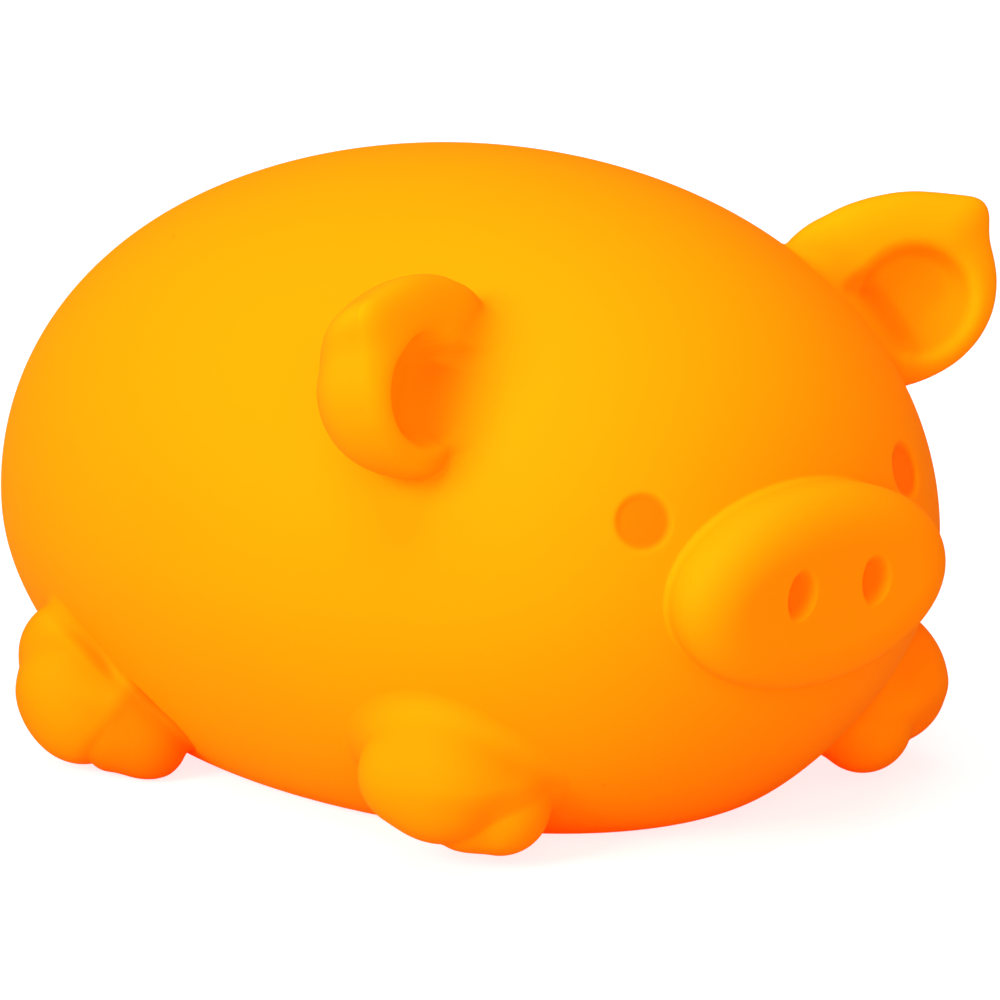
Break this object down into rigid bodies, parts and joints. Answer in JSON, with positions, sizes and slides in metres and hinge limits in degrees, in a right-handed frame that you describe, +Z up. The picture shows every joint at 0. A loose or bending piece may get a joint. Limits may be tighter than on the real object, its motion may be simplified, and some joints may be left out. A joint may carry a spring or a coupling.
{
  "type": "pig squeeze toy",
  "caption": "Soft egg-shaped pig squeeze toy of stretchy rubber filled with dough, with a wide oval snout, cupped ears that flex, stubby two-toed feet and a belly plug.",
  "frame": {"origin": "under the middle of the whole pig, on the surface that it rests on", "axes": "+X towards the snout, +Y towards the pig's left, +Z up"},
  "size_m": [0.1188, 0.0842, 0.0619],
  "materials": {
    "skin_rubber": "matte powdery stretchy rubber",
    "dough": "soft matte dough",
    "plug_rubber": "satin",
    "clear_glue": "gloss"
  },
  "bodies": {
    "pig_body": {"body_skin": "skin_rubber", "snout": "skin_rubber", "ear_neck_left": "skin_rubber", "ear_neck_right": "skin_rubber", "foot_front_left": "skin_rubber", "foot_front_right": "skin_rubber", "foot_rear_left": "skin_rubber", "foot_rear_right": "skin_rubber", "tail": "skin_rubber", "dough_core": "dough", "fill_plug": "plug_rubber", "plug_glue_bead": "clear_glue"},
    "left_ear": {"ear_left": "skin_rubber"},
    "right_ear": {"ear_right": "skin_rubber"}
  },
  "joints": [
    {"name": "ear_left_flex", "type": "hinge", "parent": "pig_body", "child": "left_ear", "pos_m": [0.03022, 0.0279, 0.0474], "axis": [-0.5296, -0.293, 0.796], "range_deg": [-15, 15], "stiffness_Nm_per_rad": 0.02, "deforming": ["ear_neck_left"]},
    {"name": "ear_right_flex", "type": "hinge", "parent": "pig_body", "child": "right_ear", "pos_m": [0.03022, -0.0279, 0.0474], "axis": [0.5296, -0.293, -0.796], "range_deg": [-15, 15], "stiffness_Nm_per_rad": 0.02, "deforming": ["ear_neck_right"]}
  ]
}
